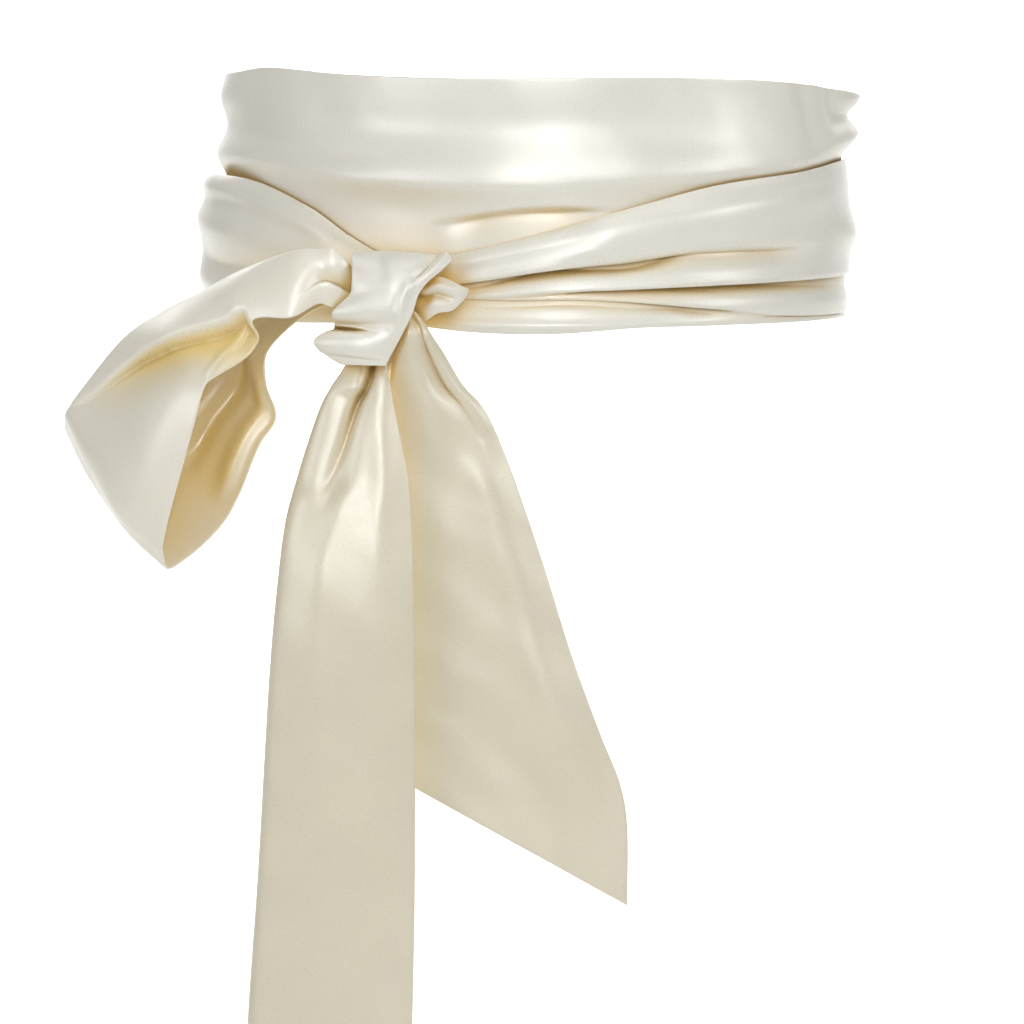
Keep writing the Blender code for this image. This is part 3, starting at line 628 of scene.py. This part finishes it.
bowLoop = {
    "sections": (
        (-74.6, -113.5, -29.0, -74.8, -115.0, -41.0, 0.5),
        (-83.0, -115.6, -20.5, -83.0, -117.2, -44.0, 2.5),
        (-90.0, -114.0, -20.0, -90.0, -119.0, -42.5, 3.0),
        (-101.5, -112.0, -21.0, -101.0, -125.0, -48.0, 3.0),
        (-124.0, -104.0, -30.0, -116.5, -122.0, -49.0, 4.0),
        (-138.0, -100.0, -37.5, -121.0, -125.0, -61.0, 5.0),
        (-155.0, -97.0, -46.5, -134.5, -132.5, -73.5, 6.0),
        (-171.5, -95.0, -57.5, -140.5, -133.0, -94.0, 6.0),
        (-192.5, -89.0, -83.0, -152.0, -125.0, -135.0, 5.5),
        (-196.5, -83.0, -91.5, -154.0, -117.0, -147.0, 4.4),
        (-194.5, -76.0, -96.0, -150.0, -107.0, -152.0, 4.0),
        (-181.0, -67.0, -82.0, -129.0, -93.0, -133.0, 3.0),
        (-168.0, -66.0, -69.0, -115.5, -89.5, -103.0, 3.5),
        (-158.0, -66.0, -60.0, -108.2, -87.0, -90.5, 4.0),
        (-146.0, -69.5, -51.5, -112.3, -88.0, -76.0, 3.5),
        (-134.0, -75.0, -44.0, -111.0, -88.0, -62.0, 3.0),
        (-102.0, -92.0, -33.0, -93.0, -99.0, -46.0, 2.0),
        (-75.0, -103.5, -31.0, -75.2, -105.5, -41.0, 0.5),
    ),
    "creases": (
        (-0.9, 1.00, 0.58, 3.0, 0.74, -3.0, 0.8, 6.0),
        (4.0, 0.84, 0.44, 8.4, -0.04, -8.6, 21.0, 1.5),
        (4.1, 0.72, 0.84, 6.6, 1.12, 1.4, 1.2, 3.5),
        (5.6, 0.76, 0.74, 10.2, 0.66, 3.0, 14.0, 22.0),
        (10.8, 0.60, 0.60, 16.2, 0.50, 5.0, 5.0, 5.0),
        (11.0, 0.88, 0.88, 14.8, 0.90, -3.5, 4.0, 5.0),
        (10.6, 0.30, 0.34, 15.0, 0.30, -2.0, 6.0, 6.0),
    ),
    "ripple": 0.35,
    "seed": 5.0,
    "rowZones": ((0, 0.9), (1, 1.4)),
    "columnZones": ((0, 0.7), (1, 0.7)),
    "cut": 100.0,
    "held": "gathered",
    "restsOn": ["knot_turn"],
}
longTail = {
    "sections": (
        (-74.5, -114.8, -56.0, -61.5, -114.8, -56.5, 0.0),
        (-78.5, -116.0, -67.5, -61.5, -116.5, -69.0, 0.5),
        (-84.0, -118.5, -76.0, -60.0, -119.0, -77.0, 1.5),
        (-89.5, -120.0, -87.0, -58.0, -120.0, -87.0, 2.5),
        (-98.0, -122.0, -113.0, -53.0, -122.0, -113.0, 4.0),
        (-103.0, -125.0, -132.0, -51.5, -124.5, -132.0, 4.5),
        (-106.5, -127.0, -160.0, -50.5, -126.0, -160.0, 5.0),
        (-110.0, -125.5, -200.0, -50.0, -125.0, -200.0, 5.0),
        (-115.0, -119.5, -281.0, -50.0, -119.5, -281.0, 5.0),
        (-119.5, -117.0, -345.0, -51.2, -117.0, -341.0, 5.0),
        (-126.0, -116.0, -474.0, -53.5, -116.0, -428.0, 3.0),
    ),
    "creases": (
        (-0.6, 0.72, 0.62, 4.6, 0.22, -5.0, 1.4, 3.0),
        (2.0, 0.48, 0.34, 6.4, 0.10, -2.4, 5.0, 8.0),
        (0.8, 0.90, 0.80, 6.5, 0.70, 1.2, 5.0, 5.0),
        (4.0, 0.24, 0.28, 8.5, 0.32, 1.6, 9.0, 9.0),
    ),
    # the edge is rolled back behind the face: share of the cloth, place across the face, depth behind it
    "roll": {
        "rows": (
            (0.00, 0.36, 1.00),
            (0.14, 0.16, 1.00),
            (0.22, 0.04, 0.85),
            (0.27, 0.00, 0.50),
            (0.32, 0.04, 0.12),
            (0.44, 0.20, 0.00),
            (1.00, 1.00, 0.00),
        ),
        "depths": (2.8, 3.2, 4.0, 5.0, 6.5, 6.5, 6.5, 6.5, 6.5, 6.5, 6.5),
    },
    "ripple": 0.5,
    "seed": 6.0,
    "rowZones": ((0, 1.0), (0.35, 1.4), (1, 3.0)),
    "columnZones": ((0, 1.2), (1, 0.9)),
    "cut": 100.0,
    "held": "hung",
    "restsOn": ["knot_turn"],
}
shortTail = {
    "sections": (
        (-54.4, -114.5, -43.0, -50.0, -113.3, -46.0, 0.0),
        (-55.0, -115.5, -51.0, -45.0, -113.3, -52.5, 0.8),
        (-60.0, -112.5, -62.0, -38.5, -108.5, -62.5, 1.5),
        (-63.0, -110.0, -74.0, -30.5, -105.0, -76.0, 2.0),
        (-65.0, -108.0, -87.0, -20.5, -103.0, -88.0, 3.0),
        (-65.0, -105.0, -110.0, -11.0, -100.5, -110.0, 4.0),
        (-64.0, -102.0, -150.0, 2.5, -99.0, -149.0, 5.0),
        (-62.5, -100.5, -190.0, 15.3, -98.0, -190.0, 5.0),
        (-61.4, -99.8, -213.0, 27.0, -97.3, -222.0, 4.5),
        (-61.0, -99.3, -224.0, 35.3, -97.0, -243.0, 3.5),
        (-60.7, -99.1, -231.0, 38.3, -97.0, -262.0, 2.8),
        (-60.5, -99.0, -239.0, 38.3, -97.0, -294.0, 2.0),
    ),
    "creases": (
        (-0.4, 0.60, 0.72, 5.2, 0.86, -2.0, 0.9, 4.5),
        (0.6, 0.80, 0.86, 5.2, 0.96, 1.6, 3.0, 3.0),
        (0.8, 0.35, 0.45, 5.6, 0.55, 2.4, 7.0, 7.0),
        (0.0, 0.12, 0.10, 3.4, 0.08, -4.0, 0.8, 3.0),
        (7.2, 0.45, 0.62, 12.5, 0.72, -2.0, 9.0, 20.0),
        (4.4, 0.80, 0.82, 10.5, 0.86, 2.2, 10.0, 10.0),
    ),
    "ripple": 0.5,
    "seed": 7.0,
    "rowZones": ((0, 0.9), (0.4, 1.4), (1, 2.2)),
    "columnZones": ((0, 1.3), (1, 0.9)),
    "cut": 115.0,
    "held": "hung",
    "restsOn": ["knot_turn"],
}
knot = ribbonPiece("knot_turn", "knot_wrap", knotWrap, ivory)
neck = ribbonPiece("knot_tuck", "knot_neck", knotNeck, ivory)
loop = ribbonPiece("half_bow", "bow_loop", bowLoop, loopIvoryDeepShade)
frontTail = ribbonPiece("front_tail", "long_tail", longTail, tailIvoryShaded)
rearTail = ribbonPiece("rear_tail", "short_tail", shortTail, tailIvoryShaded)
print("bow done")


# Hidden layers in the knot: a rounded solid with the edges of the folded layers as ridges
knotLayers = {"layers": 9, "ridgeDepth": 0.03, "lean": 0.6, "segments": 96, "rings": 64}
coreLow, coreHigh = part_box("knot_core")
bpy.ops.mesh.primitive_uv_sphere_add(
    segments=knotLayers["segments"], ring_count=knotLayers["rings"], radius=1.0)
core = bpy.context.active_object
core.name = "knot_layers"
centre = [(a + b) / 2 for a, b in zip(coreLow, coreHigh)]
halfSize = [(b - a) / 2 for a, b in zip(coreLow, coreHigh)]
for vert in core.data.vertices:
    layer = knotLayers["layers"] * vert.co.y * math.pi / 2 + knotLayers["lean"] * vert.co.z
    layerRidge = 1.0 - knotLayers["ridgeDepth"] * abs(math.sin(layer))
    vert.co = Vector([c + v * h * layerRidge for c, v, h in zip(centre, vert.co, halfSize)])
core.location = (0, 0, 0)
core.data.shade_smooth()
core.data.uv_layers[0].name = "ClothUV"
core.data.materials.append(ivory)
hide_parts("knot_core")
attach(core, "root")
# Floor, light and camera, in metres
studio = {"floor": -0.50, "front": -5.0, "back": 5.0, "top": 4.5, "bend": 1.2, "bendSteps": 24, "width": 11.0}


# Pale floor that bends up into the wall behind
def studioSheet():
    profile = [(studio["front"], studio["floor"])]
    bend = studio["bend"]
    centreY, centreZ = studio["back"] - bend, studio["floor"] + bend
    for k in range(studio["bendSteps"] + 1):
        a = math.radians(90 * k / studio["bendSteps"])
        profile.append((centreY + bend * math.sin(a), centreZ - bend * math.cos(a)))
    profile.append((studio["back"], studio["top"]))
    half = studio["width"] / 2
    places = [(x, y, z) for y, z in profile for x in (-half, half)]
    faces = [(2 * k, 2 * k + 1, 2 * k + 3, 2 * k + 2) for k in range(len(profile) - 1)]
    mesh = bpy.data.meshes.new("studio_floor")
    mesh.from_pydata(places, [], faces)
    mesh.shade_smooth()
    floor = bpy.data.objects.new("studio_floor", mesh)
    bpy.context.scene.collection.objects.link(floor)
    # matt paper, an even white without a highlight
    paper = bpy.data.materials.new("White studio paper")
    paper.use_nodes = True
    shader = paper.node_tree.nodes["Principled BSDF"]
    shader.inputs["Base Color"].default_value = linear("f4f4f2")
    shader.inputs["Roughness"].default_value = 0.9
    mesh.materials.append(paper)


studioSheet()


def softbox(name, place, aim, size, watts, spread=180, colour="ffffff"):
    light = bpy.data.lights.new(name, "AREA")
    light.spread = math.radians(spread)
    light.shape = "RECTANGLE"
    light.size, light.size_y = size
    light.energy = watts
    light.color = linear(colour)[:3]
    lamp = bpy.data.objects.new(name, light)
    lamp.location = place
    lamp.rotation_euler = (Vector(aim) - Vector(place)).to_track_quat("-Z", "Y").to_euler()
    bpy.context.scene.collection.objects.link(lamp)


# Soft lights: where, aimed at, size, watts and spread in degrees
bandFront = (0, -0.1, 0.0)
softbox("Key softbox", (0.12, -1.35, 0.62), bandFront, (0.45, 1.3), 1.5, 90)
softbox("Strip softbox", (0.14, -1.9, 0.35), (0.02, -0.1, 0.0), (0.22, 1.2), 0.85, 60)
softbox("Side softbox", (1.4, -0.9, 0.4), (0, 0, -0.05), (0.5, 0.8), 0.6, 60)
softbox("Fill softbox", (-1.6, -1.8, 0.3), (0, 0, -0.1), (1.2, 1.2), 3.3, 100, "fbfcff")
softbox("Top softbox", (0.1, -0.4, 1.7), (0, 0, 0), (1.2, 1.0), 4.5)
softbox("Backdrop softbox", (0.0, 2.4, 2.4), (0, 4.4, -0.5), (5.0, 1.0), 300)

world = bpy.data.worlds.new("Studio air")
world.use_nodes = True
world.node_tree.nodes["Background"].inputs["Color"].default_value = linear("ffffff")
world.node_tree.nodes["Background"].inputs["Strength"].default_value = 0.26
bpy.context.scene.world = world
bpy.context.scene.view_settings.view_transform = "Standard"

# Camera as in the photograph: 3 m away, a touch above the waist and looking slightly down
view = {"place": (-0.00989, -3.0, 0.010), "aim": (-0.00989, 0.0, -0.13416), "frameWidth": 0.4403}
cameraData = bpy.data.cameras.new("Camera")
cameraData.sensor_width = 36.0
distance = (Vector(view["aim"]) - Vector(view["place"])).length
cameraData.lens = cameraData.sensor_width * distance / view["frameWidth"]
camera = bpy.data.objects.new("Camera", cameraData)
camera.location = view["place"]
camera.rotation_euler = (Vector(view["aim"]) - Vector(view["place"])).to_track_quat("-Z", "Y").to_euler()
bpy.context.scene.collection.objects.link(camera)
bpy.context.scene.camera = camera
print("studio done")
